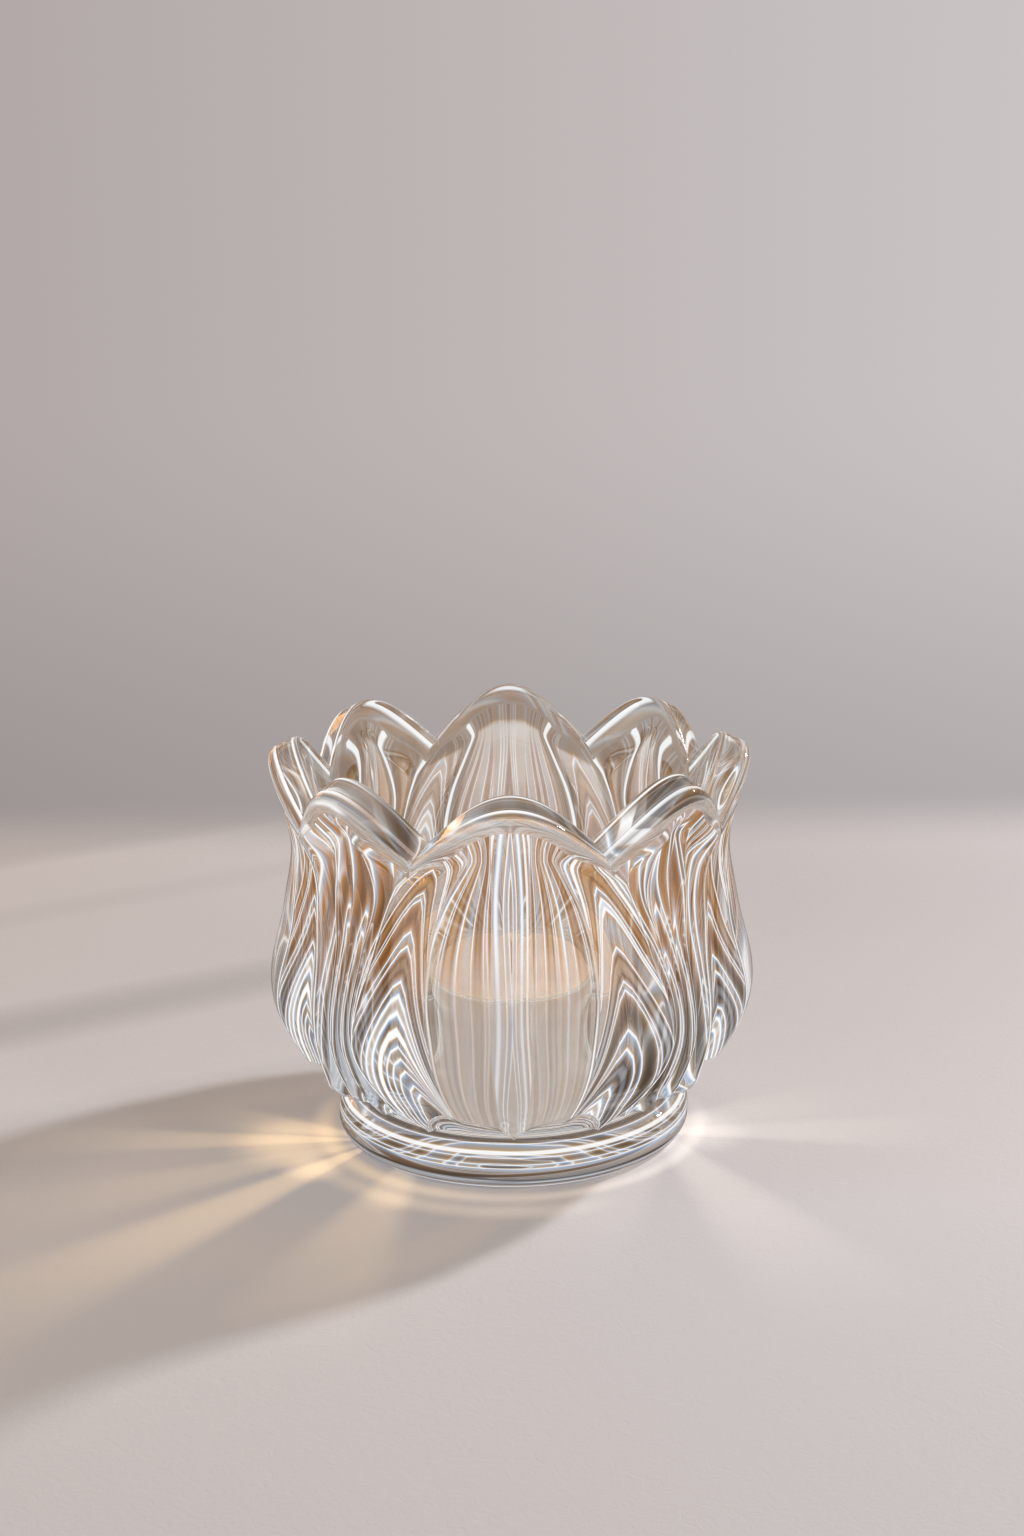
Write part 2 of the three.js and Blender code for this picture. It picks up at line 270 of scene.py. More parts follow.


# Painted light: the board glows, by emission, where the glass would throw the lamp's light. There is a honey
# coloured fan to the left, a paler one to the right, and arcs and spots beside the foot. The last number of
# each is its strength. A ray fades from its core on.
ray_core = 10
tone_change = 30 * MM
rays = (
    ((-27, -11), 160, 12, 48, 0.2), ((-27, -11), 179, 8, 88, 0.2), ((-27, -11), 205, 10, 95, 0.12),
    ((-27, -11), 227, 10, 128, 0.27), ((-18, -12), 254, 13, 100, 0.18), ((20, -8), -2, 10, 80, 0.15),
    ((20, -8), 16, 14, 64, 0.1), ((28, -4), 292, 14, 105, 0.14), ((36, -2), 246, 14, 90, 0.1),
)
arcs = ((40, 4, 225, 75, 0.3), (46, 5, 250, 50, 0.16), (39.5, 3, 320, 60, 0.2))
spots = (((-47, -12), 17, 0.42), ((-41, -25), 9, 0.4), ((-25, -40), 8, 0.14), ((38, -9), 15, 0.24))
painted_board_light = [light_ray(tree, place, *ray) for ray in rays]
painted_board_light += [light_ring(tree, place, *arc) for arc in arcs]
painted_board_light += [light_spot(tree, place, *spot) for spot in spots]
painted_thrown_light = painted_board_light[0]
for more in painted_board_light[1:]:
    painted_thrown_light = add_node(tree, "ShaderNodeMath", {"operation": "ADD"}, i0=painted_thrown_light.outputs[0], i1=more.outputs[0])
rightwards = add_node(
    tree, "ShaderNodeMapRange", Value=parts.outputs["X"], From_Min=-tone_change, From_Max=tone_change,
)
ray_tone = add_node(
    tree, "ShaderNodeMix", COLOURS, i0=rightwards.outputs[0],
    i6=linear("#FFD598"), i7=linear("#FFF2E2"),
)
tree.links.new(ray_tone.outputs[2], shader.inputs["Emission Color"])
tree.links.new(painted_thrown_light.outputs[0], shader.inputs["Emission Strength"])
floor_mesh.materials.append(board)

# The room. The camera sees plain plaster that darkens low down. Gloss and glass see it too, and above eye
# level they see window panes, their bars and warm wood, which the crystal gathers into its tones. Matt
# surfaces get an even light. Heights and sides are those of the ray's direction.
plaster_change = 0.25
low_plaster = (-0.31, -0.12)
low_plaster_shade = 0.25
window_share = 0.25
panel_edge = (0.02, 0.04)
ambient_light = (0.4, 0.38, 0.35, 1)
world = bpy.data.worlds.new("studio_room")
bpy.context.scene.world = world
world.use_nodes = True
tree = world.node_tree
background = tree.nodes["Background"]
direction = add_node(tree, "ShaderNodeTexCoord")
parts = add_node(tree, "ShaderNodeSeparateXYZ", Vector=direction.outputs["Generated"])
side = add_node(tree, "ShaderNodeMapRange", Value=parts.outputs["X"], From_Min=-1, From_Max=1)
rightwards = add_node(
    tree, "ShaderNodeMapRange", Value=parts.outputs["X"],
    From_Min=-plaster_change, From_Max=plaster_change,
)
plaster_tone = add_node(
    tree, "ShaderNodeMix", COLOURS, i0=rightwards.outputs[0],
    i6=linear("#AEA5A3"), i7=linear("#CCC6C6"),
)
low_shade = add_node(
    tree, "ShaderNodeMapRange", SMOOTH, Value=parts.outputs["Z"],
    From_Min=low_plaster[0], From_Max=low_plaster[1], To_Min=low_plaster_shade, To_Max=0,
)
plaster = add_node(
    tree, "ShaderNodeMix", COLOURS, i0=low_shade.outputs[0],
    i6=plaster_tone.outputs[2], i7=linear("#000000"),
)
panels_up = add_node(tree, "ShaderNodeValToRGB", i0=parts.outputs["Z"])
set_stops(panels_up, (
    (0.03, "#9A7A58"), (0.08, "#B99468"), (0.10, "#FFFFFF"), (0.17, "#FFFFFF"), (0.19, "#8F8780"),
    (0.30, "#A89C90"), (0.33, "#FFFFFF"), (0.62, "#F2F6FF"), (0.66, "#B9BEC6"), (1.0, "#F4F6FA"),
))
panels_across = add_node(tree, "ShaderNodeValToRGB", i0=side.outputs[0])
set_stops(panels_across, (
    (0.0, "#D3E2F5"), (0.27, "#E2ECF8"), (0.29, "#8C7259"), (0.37, "#CDA473"), (0.42, "#FFFFFF"),
    (0.55, "#FFFFFF"), (0.60, "#DDB88A"), (0.67, "#9C7B5A"), (0.71, "#FFF4E4"), (1.0, "#FFEBD0"),
))
panels = add_node(
    tree, "ShaderNodeMix", {"data_type": "RGBA", "blend_type": "MULTIPLY"}, i0=1.0,
    i6=panels_up.outputs[0], i7=panels_across.outputs[0],
)
above = add_node(
    tree, "ShaderNodeMapRange", Value=parts.outputs["Z"], From_Min=panel_edge[0], From_Max=panel_edge[1],
)
lit_plaster = add_node(
    tree, "ShaderNodeMix", COLOURS, i0=window_share,
    i6=plaster_tone.outputs[2], i7=linear("#FFF6EC"),
)
room = add_node(
    tree, "ShaderNodeMix", COLOURS, i0=above.outputs[0],
    i6=lit_plaster.outputs[2], i7=panels.outputs[2],
)
path = add_node(tree, "ShaderNodeLightPath")
bent = add_node(
    tree, "ShaderNodeMath", {"operation": "MAXIMUM"},
    i0=path.outputs["Is Glossy Ray"], i1=path.outputs["Is Transmission Ray"],
)
direct = add_node(
    tree, "ShaderNodeMix", COLOURS, i0=path.outputs["Is Camera Ray"],
    i6=ambient_light, i7=plaster.outputs[2],
)
light = add_node(
    tree, "ShaderNodeMix", COLOURS, i0=bent.outputs[0],
    i6=direct.outputs[2], i7=room.outputs[2],
)
tree.links.new(light.outputs[2], background.inputs["Color"])


def studio_lamp(name, place, size, power, colour):
    """A soft lamp that faces the middle of the holder: its place and size in metres, its power in watts."""
    lamp = bpy.data.lights.new(name, "AREA")
    lamp.shape = "RECTANGLE"
    lamp.size, lamp.size_y = size
    lamp.energy = power
    lamp.color = linear(colour)[:3]
    stand = bpy.data.objects.new(name, lamp)
    stand.location = place
    aim = Vector((0, 0, 40 * MM)) - Vector(place)
    stand.rotation_euler = aim.to_track_quat("-Z", "Y").to_euler()
    bpy.context.collection.objects.link(stand)


studio_lamp("low_sun", (0.62, 0.41, 0.44), (0.065, 0.065), 5.05, "#FDFAFF")
studio_lamp("window_left", (-0.7, -0.2, 0.55), (0.25, 0.7), 0.9, "#E8F1FF")
studio_lamp("window_right", (0.6, -0.55, 0.5), (0.12, 0.6), 0.8, "#F2F6FF")
studio_lamp("honey_card", (-0.45, 0.55, 0.2), (0.35, 0.2), 0.8, "#FFB765")

# Holder. One heavy piece of lead-free crystal, pressed in a four-part mould: four front petals with four more
# tucked behind them, on a round foot. The plunger leaves a smooth tapered cavity, and the rim is fire
# polished.
foot_radius = 37
foot_height = 9.4
foot_lower_round = 2.6
foot_upper_round = 4.8
standing_ring_width = 5.5
recess_depth = 1.2
recess_slope = 2.5
foot_neck_inset = 5.2
foot_neck_height = 1
wall_line = ((8.8, 35.6), (17.2, 43.5), (32, 50.25), (51.2, 46.9), (64.2, 45.3), (81.8, 50))
tip_height = 84.7
notch_depth = 11
rim_fall = 3.2
notch_fall = 3.4
outer_edge_round = 2.4
inner_edge_round = 1.2
outer_notch_azimuth = 24
inner_notch_azimuth = 22.5
notch_softness = 0.3
cavity_mouth_radius = 43.2
cavity_neck_radius = 39.4
cavity_neck_height = 67
mouth_flare = 1.4
cavity_waist_radius = 38
cavity_waist_height = 41
cavity_bowl_radius = 34
cavity_floor_radius = 22
cavity_floor_height = 10.4
rib_groove_depth = 0.5
tucked_flute_depth = 1.6
tuck = 1.8
tuck_width = 0.35
smooth_band = 3
flute_fade = 6
petal_point_height = 11.2
petal_arch = 6.5
tucked_point_rise = 1
tucked_arch = 1.5
ridge_softness = 0.05
ridge_crowding = 0.55
recess_share = 0.6
slope_share = 0.2
lower_edge_share = 0.4
neck_round = 0.8
petal_pairs = 4
half_pair = 180 / petal_pairs
petal_edge_line = ((13, 25.5), (21, 34.5), (30, 38.5), (40, 38), (51, 35), (61, 31.5), (72, 24))
outer_flute_line = ((12, 2.2), (19, 3.6), (28, 3.6), (42, 2.9), (58, 2.1), (72, 1.4))
rib_line = ((13, 2.6), (22, 3.8), (47, 4.3), (72, 4.4))
inner_ridge_line = ((13, 12.5), (22, 16), (34, 18), (47, 20), (60, 17.5), (72, 10))
tucked_ridge_line = ((13, 35), (30, 41), (49, 40.5), (61, 37.5), (73, 41))
rib_column = 5
inner_ridge_column = 17
edge_column = 31
tucked_ridge_column = 40
tucked_middle_column = 49
columns_per_pair = 2 * tucked_middle_column
glass_columns = petal_pairs * columns_per_pair


def lerp(a, b, t):
    return a + (b - a) * t


def smoothstep(value, low, high):
    t = min(max((value - low) / (high - low), 0), 1)
    return t * t * (3 - 2 * t)


def read_line(line, height):
    """A smooth value read off (height, value) points, eased between each two."""
    if height <= line[0][0]:
        return line[0][1]
    for i in range(1, len(line)):
        (low_height, low), (high_height, high) = line[i - 1], line[i]
        if height <= high_height:
            before, after = line[max(i - 2, 0)], line[min(i + 1, len(line) - 1)]
            span = high_height - low_height
            slope_in = (high - before[1]) / (high_height - before[0]) * span
            slope_out = (after[1] - low) / (after[0] - low_height) * span
            t = (height - low_height) / span
            return (
                (2 * t**3 - 3 * t**2 + 1) * low + (t**3 - 2 * t**2 + t) * slope_in
                + (3 * t**2 - 2 * t**3) * high + (t**3 - t**2) * slope_out
            )
    return line[-1][1]


def cavity_radius(height):
    if height <= cavity_neck_height:
        taper = (height - cavity_waist_height) / (cavity_neck_height - cavity_waist_height)
        return lerp(cavity_waist_radius, cavity_neck_radius, taper)
    flare = (height - cavity_neck_height) / (tip_height - cavity_neck_height)
    return lerp(cavity_neck_radius, cavity_mouth_radius, flare**mouth_flare)


def flute_share(column):
    """Which flute a column is in, and how far across it lies, with columns crowded towards the ridges."""
    ends = (0, rib_column, inner_ridge_column, edge_column, tucked_ridge_column, tucked_middle_column)
    for flute in range(5):
        if column <= ends[flute + 1]:
            t = (column - ends[flute]) / (ends[flute + 1] - ends[flute])
            return flute, t - (ridge_crowding * math.sin(2 * math.pi * t) / (2 * math.pi) if flute else 0)
    raise ValueError("the column lies past the middle of the tucked petal")


def ridge_azimuth(column, height):
    flute, t = flute_share(column)
    ridges = (
        0, read_line(rib_line, height), read_line(inner_ridge_line, height),
        read_line(petal_edge_line, height), read_line(tucked_ridge_line, height), half_pair,
    )
    return lerp(ridges[flute], ridges[flute + 1], t)


def rim_azimuth(column, notch_azimuth):
    if column <= edge_column:
        return notch_azimuth * column / edge_column
    return lerp(notch_azimuth, half_pair, (column - edge_column) / (tucked_middle_column - edge_column))


def tip_arch(column):
    if column <= edge_column:
        t = column / edge_column
    else:
        t = (tucked_middle_column - column) / (tucked_middle_column - edge_column)
    return lerp(1 - t * t, (1 + math.cos(math.pi * t)) / 2, notch_softness)


def inner_rim_height(column):
    return tip_height - notch_depth * (1 - tip_arch(column))


def outer_rim_height(column):
    return inner_rim_height(column) - lerp(notch_fall, rim_fall, tip_arch(column))


def groove(t):
    """A pressed flute across its width: 0 on the ridges, which are rounded a little, and 1 in the middle."""
    soft = [math.hypot(s, ridge_softness) - ridge_softness for s in (t, 1 - t, 0.5)]
    return soft[0] * soft[1] / soft[2] ** 2


def flute_depth(column, height):
    fade = smoothstep(outer_rim_height(column) - smooth_band - height, 0, flute_fade)
    flute, t = flute_share(column)
    outer_depth = read_line(outer_flute_line, height)
    depths = (rib_groove_depth, 0, outer_depth, tucked_flute_depth, tucked_flute_depth)
    depth = depths[flute] * (groove(0.5 + t / 2) if flute == 0 else groove(t))
    behind = (0, 0, 0, tuck * smoothstep(t, 0, tuck_width), tuck)[flute]
    return fade * (depth + behind)


def petal_bottom_height(column):
    if column <= edge_column:
        t = column / edge_column
        return petal_point_height + tucked_point_rise * t + petal_arch * 4 * t * (1 - t)
    t = (column - edge_column) / (tucked_middle_column - edge_column)
    return petal_point_height + tucked_point_rise + tucked_arch * 4 * t * (1 - t)


def wall_point(column, height):
    """A point of the outer wall as (radius, angle from the petal's middle, height)."""
    to_rim = smoothstep(height, outer_rim_height(column) - flute_fade, outer_rim_height(column))
    azimuth = lerp(ridge_azimuth(column, height), rim_azimuth(column, outer_notch_azimuth), to_rim)
    return Vector((read_line(wall_line, height) - flute_depth(column, height), azimuth, height))


def corner(before, at, after, t):
    return before.lerp(at, t).lerp(at.lerp(after, t), t)


def rim_face(column, from_outer, length):
    """A point on the polished face of the rim, a length in from its outer or its inner edge."""
    outer = wall_point(column, outer_rim_height(column))
    inner = cavity_point(column, inner_rim_height(column))
    width = math.hypot(outer.x - inner.x, outer.z - inner.z)
    return outer.lerp(inner, length / width if from_outer else 1 - length / width)


def cavity_point(column, height):
    return Vector((cavity_radius(height), rim_azimuth(column, inner_notch_azimuth), height))


def foot_point(column, radius, height):
    return Vector((radius, rim_azimuth(column, half_pair / 2), height))


def underside(column, t):
    ring_outer = foot_radius - foot_lower_round
    ring_inner = ring_outer - standing_ring_width
    recess_radius = ring_inner - recess_slope
    if t < recess_share:
        return foot_point(column, recess_radius * t / recess_share, recess_depth)
    s = (t - recess_share) / slope_share
    if s < 1:
        return foot_point(column, recess_radius + recess_slope * s, recess_depth * (1 - smoothstep(s, 0, 1)))
    ring_start = recess_share + slope_share
    return foot_point(column, lerp(ring_inner, ring_outer, (t - ring_start) / (1 - ring_start)), 0)


def foot_edge(column, t):
    if t < lower_edge_share:
        turn = math.pi / 2 * t / lower_edge_share
        radius = foot_radius - foot_lower_round * (1 - math.sin(turn))
        return foot_point(column, radius, foot_lower_round * (1 - math.cos(turn)))
    turn = math.pi / 2 * (t - lower_edge_share) / (1 - lower_edge_share)
    radius = foot_radius - foot_upper_round * (1 - math.cos(turn))
    return foot_point(column, radius, foot_height - foot_upper_round * (1 - math.sin(turn)))


def petal_underside(column, t):
    """From the top of the foot up the short neck and out to the petals' lower edge."""
    start = foot_point(column, foot_radius - foot_upper_round, foot_height)
    neck = foot_point(column, foot_radius - foot_neck_inset - neck_round, foot_height + foot_neck_height)
    neck.y = ridge_azimuth(column, petal_bottom_height(column))
    return corner(start, neck, wall_point(column, petal_bottom_height(column)), t)


def wall(column, t):
    top = outer_rim_height(column) - outer_edge_round
    return wall_point(column, lerp(petal_bottom_height(column), top, t))


def outer_edge(column, t):
    below = wall_point(column, outer_rim_height(column) - outer_edge_round)
    at = wall_point(column, outer_rim_height(column))
    return corner(below, at, rim_face(column, True, outer_edge_round), t)


def face(column, t):
    return rim_face(column, True, outer_edge_round).lerp(rim_face(column, False, inner_edge_round), t)


def inner_edge(column, t):
    at = cavity_point(column, inner_rim_height(column))
    below = cavity_point(column, inner_rim_height(column) - inner_edge_round)
    return corner(rim_face(column, False, inner_edge_round), at, below, t)


def cavity(column, t):
    top = inner_rim_height(column) - inner_edge_round
    return cavity_point(column, lerp(top, cavity_waist_height, t))


def bowl(column, t):
    waist = cavity_point(column, cavity_waist_height)
    bend = Vector((cavity_bowl_radius, waist.y, cavity_floor_height))
    return corner(waist, bend, Vector((cavity_floor_radius, waist.y, cavity_floor_height)), t)


def cavity_floor(column, t):
    azimuth = rim_azimuth(column, inner_notch_azimuth)
    return Vector((cavity_floor_radius * (1 - t), azimuth, cavity_floor_height))


# Each band of the surface, in order from the middle of the underside to the middle of the cavity floor.
bands = (
    (underside, 14), (foot_edge, 22), (petal_underside, 8), (wall, 96), (outer_edge, 9),
    (face, 10), (inner_edge, 7), (cavity, 26), (bowl, 24), (cavity_floor, 4),
)
glass_rows = [(band, step / count) for band, count in bands for step in range(count)]
glass_rows.append((cavity_floor, 1))

# The crystal's painted reflections run in lines along its form: nested arches in the flutes, upright in rib
# and lobe, and along the rim and round the foot and the cavity. Each point knows its place among the lines,
# in millimetres, and how strongly they show from outside the glass and from inside it. Each part starts
# elsewhere in the pattern.
rib_start = 60
rim_start = 240
tucked_flute_start = 264
foot_start = 300
outer_flute_start = 372
lobe_start = 528
rib_lines = 11
lobe_lines = 30
foot_lines = 26
upright_rise = 0.08
outer_flute_rise = 0.8
tucked_flute_rise = 0.2
arch_drop = 17
tucked_arch_drop = 5
arch_power = 1.6
ring_height = 13
line_drift = ((9, 1, 0.7), (6, 3, 0.4))

# The lines' share goes from its first to its second value between these heights, and back near the foot.
rib_change, rib_share = (45, 60), (0.45, 0.9)
lobe_change, lobe_share = (44, 58), (0.25, 1)
lobe_foot_change = (12, 17)
inside_change, inside_share = (66, 76), (0.68, 0.08)
outer_flute_share = 1
tucked_flute_share = 0.95
foot_share = 0.9
rim_share = (0.1, 0.3)

# The pattern moves by its pitch for each millimetre across the rim, and a little with the column. The smooth
# parts have their start in the pattern, and how far it moves for each millimetre up and outwards.
rim_band_starts = {outer_edge: 0, face: 2.5, inner_edge: 6.5}
rim_band_width = 3
rim_pitch = 1.3
rim_lean = 0.06
smooth_patterns = {
    underside: (420, 0, 1.6), cavity: (560, 0.45, 0.8), bowl: (640, 0.45, 1.3),
    cavity_floor: (640, 0.45, 1.3),
}


def nested_arches(height, t, drop):
    return height + drop * abs(2 * t - 1) ** arch_power


def line_place(band, column, t_band, point):
    """A point's place among the lines, and the share with which they show from outside and from inside."""
    flute, t = flute_share(column)
    if band is wall:
        inside = lerp(*inside_share, smoothstep(point.z, *inside_change))
        upright = upright_rise * point.z
        if flute == 0:
            share = lerp(*rib_share, smoothstep(point.z, *rib_change))
            return rib_start + upright + rib_lines * t, share, inside
        if flute == 1:
            clear = smoothstep(point.z, *lobe_change) + 1 - smoothstep(point.z, *lobe_foot_change)
            return lobe_start + upright + lobe_lines * t, lerp(*lobe_share, clear), inside
        if flute == 2:
            arches = nested_arches(outer_flute_rise * point.z, t, arch_drop)
            return outer_flute_start + arches, outer_flute_share, inside
        arches = nested_arches(tucked_flute_rise * point.z, t, tucked_arch_drop)
        return tucked_flute_start + arches, tucked_flute_share, inside
    if band in rim_band_starts:
        across = rim_band_starts[band] + rim_band_width * t_band
        return rim_start + rim_pitch * across + rim_lean * column, *rim_share
    if band in smooth_patterns:
        start, rise, spread = smooth_patterns[band]
        return start + rise * point.z + spread * point.x, 0, 0
    return foot_start + foot_lines * (t_band + (band is petal_underside)), foot_share, 0


def drift(turn):
    """How far the painted lines move round the holder, so that no two petals show the same ones."""
    return sum(size * math.sin(times * turn + start) for size, times, start in line_drift)


# The painted highlights of ridges and rim edges fade over this many columns, or by these shares over a band.
ridge_columns = 5
face_outer_fade = 2
face_inner_fade = 1.2
outer_edge_glow = 0.5
inner_edge_fade = 0.6
below_rim = (0.91, 0.96)
below_rim_glow = 0.5


def painted_ridge_highlight(band, column, t_band):
    """1 on the ridges beside the flutes and along both edges of the rim, where highlights are painted, fading
    to either side.
    """
    if band is face:
        return max(1 - face_outer_fade * t_band, 1 - face_inner_fade * (1 - t_band), 0)
    if band is outer_edge:
        return lerp(outer_edge_glow, 1, t_band)
    if band is inner_edge:
        return 1 - inner_edge_fade * t_band
    if band is not wall:
        return 0
    away = min(abs(column - ridge) for ridge in (inner_ridge_column, edge_column, tucked_ridge_column))
    return max(1 - away / ridge_columns, below_rim_glow * smoothstep(t_band, *below_rim))


bm = bmesh.new()
bmesh.ops.create_grid(bm, x_segments=glass_columns, y_segments=len(glass_rows) - 1, size=1)
half_pair_points = [
    [band(column, t) for column in range(tucked_middle_column + 1)] for band, t in glass_rows
]
line_layer = bm.verts.layers.float_vector.new("line_place")
ridge_layer = bm.verts.layers.float.new("painted_ridge_highlight")
for vertex in bm.verts:
    step = round((vertex.co.x + 1) / 2 * glass_columns) % glass_columns
    row = round((vertex.co.y + 1) / 2 * (len(glass_rows) - 1))
    pair, in_pair = divmod(step, columns_per_pair)
    mirrored = in_pair > tucked_middle_column
    column = columns_per_pair - in_pair if mirrored else in_pair
    point = half_pair_points[row][column]
    angle = 2 * half_pair * (pair + mirrored) + (-point.y if mirrored else point.y)
    turn = math.radians(angle)
    vertex.co = Vector((point.x * math.sin(turn), -point.x * math.cos(turn), point.z)) * MM
    vertex[line_layer] = line_place(glass_rows[row][0], column, glass_rows[row][1], point)
    vertex[line_layer].x += drift(turn) * smoothstep(point.z, foot_height, ring_height)
    vertex[ridge_layer] = painted_ridge_highlight(glass_rows[row][0], column, glass_rows[row][1])

# Lead-free crystal, pressed in a polished mould and passed through a flame. The flame melts its skin to a wet
# gloss over the mould's faint waves, and the clear heavy body bends the room's light and dark into its form.
skin_wave = 6.25 * MM
skin_depth = 0.1 * MM
crystal, tree, shader = new_material(
    "pressed crystal, fire polished", Base_Color=linear("#FDFDFB"), Roughness=0, IOR=1.53,
    Transmission_Weight=1,
)
place = add_node(tree, "ShaderNodeTexCoord")
waviness = add_node(
    tree, "ShaderNodeTexNoise", Vector=place.outputs["Object"], Scale=1 / skin_wave, Detail=1,
)
skin = add_node(tree, "ShaderNodeBump", Strength=0.15, Distance=skin_depth, Height=waviness.outputs[0])
tree.links.new(skin.outputs["Normal"], shader.inputs["Normal"])


def let_lamps_through(tree, surface, share, tint):
    """Lamp rays partly pass the clear piece straight, so that they light what stands in it and behind it."""
    path = add_node(tree, "ShaderNodeLightPath")
    lamp_ray = add_node(
        tree, "ShaderNodeMath", {"operation": "MULTIPLY"}, i0=path.outputs["Is Shadow Ray"], i1=share,
    )
    passing = add_node(
        tree, "ShaderNodeMixShader", i0=lamp_ray.outputs[0], i1=surface,
        i2=add_node(tree, "ShaderNodeBsdfTransparent", Color=linear(tint)).outputs[0],
    )
    tree.links.new(passing.outputs[0], tree.nodes["Material Output"].inputs["Surface"])


# Thick pressed glass shows the room's tones as fine lines that follow its form. Here the lines are painted
# reflections, given off as emission. They stand in for all the light that has been mirrored inside the wall
# or has come a long way through it, and for part of the rest. The lines sway a little, least in the foot.
# Over the foot, mirrored light is painted as soft patches, longer than they are wide.
line_width = 8
line_sway = 7
foot_sway = 0.12 * line_sway
sway_size = 25 * MM
patch_size = 21.74 * MM
patch_grain = (1, 1, 0.45)
honey_height = (33 * MM, 54 * MM)
petal = add_node(tree, "ShaderNodeAttribute", {"attribute_name": "line_place"})
petal_parts = add_node(tree, "ShaderNodeSeparateXYZ", Vector=petal.outputs["Vector"])
sway = add_node(tree, "ShaderNodeTexNoise", Vector=place.outputs["Object"], Scale=1 / sway_size, Detail=0.3)
height = add_node(tree, "ShaderNodeSeparateXYZ", Vector=place.outputs["Object"])
sway_here = add_node(
    tree, "ShaderNodeMapRange", SMOOTH, Value=height.outputs["Z"],
    From_Min=foot_height * MM, From_Max=2 * foot_height * MM, To_Min=foot_sway, To_Max=line_sway,
)
swayed = add_node(
    tree, "ShaderNodeMath", {"operation": "MULTIPLY_ADD"}, i0=sway.outputs[0],
    i1=sway_here.outputs[0], i2=petal_parts.outputs["X"],
)
lines = add_node(
    tree, "ShaderNodeTexNoise", {"noise_dimensions": "1D"}, W=swayed.outputs[0],
    Scale=1 / line_width, Detail=0.6,
)
upright = add_node(tree, "ShaderNodeMapping", Vector=place.outputs["Object"], Scale=patch_grain)
over_foot = add_node(
    tree, "ShaderNodeMath", {"operation": "GREATER_THAN"}, i0=height.outputs["Z"], i1=ring_height * MM,
)
patches = add_node(
    tree, "ShaderNodeTexNoise", Vector=upright.outputs[0], Scale=1 / patch_size, Detail=1, Distortion=0.5,
)
honey = add_node(
    tree, "ShaderNodeMapRange", SMOOTH, Value=height.outputs["Z"],
    From_Min=honey_height[0], From_Max=honey_height[1],
)
low_tones = add_node(tree, "ShaderNodeValToRGB", i0=lines.outputs[0])
set_stops(low_tones, (
    (0.18, "#C6CFDA"), (0.26, "#3E362F"), (0.33, "#6E5C4C"), (0.385, "#B99F80"), (0.41, "#FFFFFF"),
    (0.425, "#FFFFFF"), (0.445, "#A6C0E2"), (0.50, "#A09A95"), (0.535, "#C49E6C"), (0.56, "#FFFFFF"),
    (0.575, "#FFFFFF"), (0.60, "#A3BCDC"), (0.65, "#84694F"), (0.72, "#3A312A"), (0.80, "#C9D2DD"),
))
high_tones = add_node(tree, "ShaderNodeValToRGB", i0=lines.outputs[0])
set_stops(high_tones, (
    (0.20, "#C48C42"), (0.27, "#875321"), (0.34, "#BE7B2C"), (0.385, "#D9B078"), (0.41, "#FFFFFF"),
    (0.425, "#FFFFFF"), (0.445, "#B2C4DE"), (0.50, "#BA8C52"), (0.535, "#D28E3C"), (0.56, "#FFFFFF"),
    (0.575, "#FFFFFF"), (0.60, "#BAC5D4"), (0.65, "#BF7A28"), (0.71, "#7C4E20"), (0.79, "#C68F48"),
))
line_tones = add_node(
    tree, "ShaderNodeMix", COLOURS, i0=honey.outputs[0],
    i6=low_tones.outputs[0], i7=high_tones.outputs[0],
)
line_strength = add_node(tree, "ShaderNodeValToRGB", i0=lines.outputs[0])
set_stops(line_strength, (
    (0.20, "#C8C8C8"), (0.28, "#DCDCDC"), (0.36, "#C8C8C8"), (0.385, "#808080"), (0.41, "#FFFFFF"),
    (0.425, "#FFFFFF"), (0.445, "#D8D8D8"), (0.48, "#909090"), (0.52, "#909090"), (0.535, "#D0D0D0"),
    (0.56, "#FFFFFF"), (0.575, "#FFFFFF"), (0.60, "#D0D0D0"), (0.64, "#C8C8C8"), (0.71, "#DCDCDC"),
    (0.79, "#C8C8C8"),
))
patch_tones = add_node(tree, "ShaderNodeValToRGB", i0=patches.outputs[0])
set_stops(patch_tones, (
    (0.28, "#54463B"), (0.35, "#86705D"), (0.40, "#A89E96"), (0.435, "#B4ACA6"), (0.45, "#FFFFFF"),
    (0.47, "#A4B1BF"), (0.50, "#90867E"), (0.545, "#B3967A"), (0.565, "#FFFFFF"), (0.585, "#A8A09A"),
    (0.63, "#857A72"), (0.70, "#54473D"),
))

# The lines' share goes by the side from which the surface is met: from outside, or from inside the glass.
geometry = add_node(tree, "ShaderNodeNewGeometry")
side_share = add_node(
    tree, "ShaderNodeMix", {"data_type": "FLOAT"}, i0=geometry.outputs["Backfacing"],
    i2=petal_parts.outputs["Y"], i3=petal_parts.outputs["Z"],
)
line_share = add_node(
    tree, "ShaderNodeMath", {"operation": "MULTIPLY"}, i0=line_strength.outputs[0],
    i1=side_share.outputs[0],
)

# Each ridge and rim edge carries a painted bright line beside a painted dark one. They are stronger where the
# lines sway far.
broken_at = (0.3, 0.55)
weakest_ridge = 0.35
ridge = add_node(tree, "ShaderNodeAttribute", {"attribute_name": "painted_ridge_highlight"})
ridge_strength = add_node(tree, "ShaderNodeValToRGB", i0=ridge.outputs["Fac"])
set_stops(ridge_strength, (
    (0.64, "#000000"), (0.71, "#BBBBBB"), (0.77, "#202020"), (0.84, "#DDDDDD"), (0.9, "#808080"),
    (0.96, "#FFFFFF"),
))
ridge_tones = add_node(tree, "ShaderNodeValToRGB", i0=ridge.outputs["Fac"])
set_stops(ridge_tones, ((0.74, "#EEF3F8"), (0.78, "#5A4C40"), (0.88, "#5A4C40"), (0.93, "#FFFFFF")))
inner_strength = add_node(tree, "ShaderNodeValToRGB", i0=ridge.outputs["Fac"])
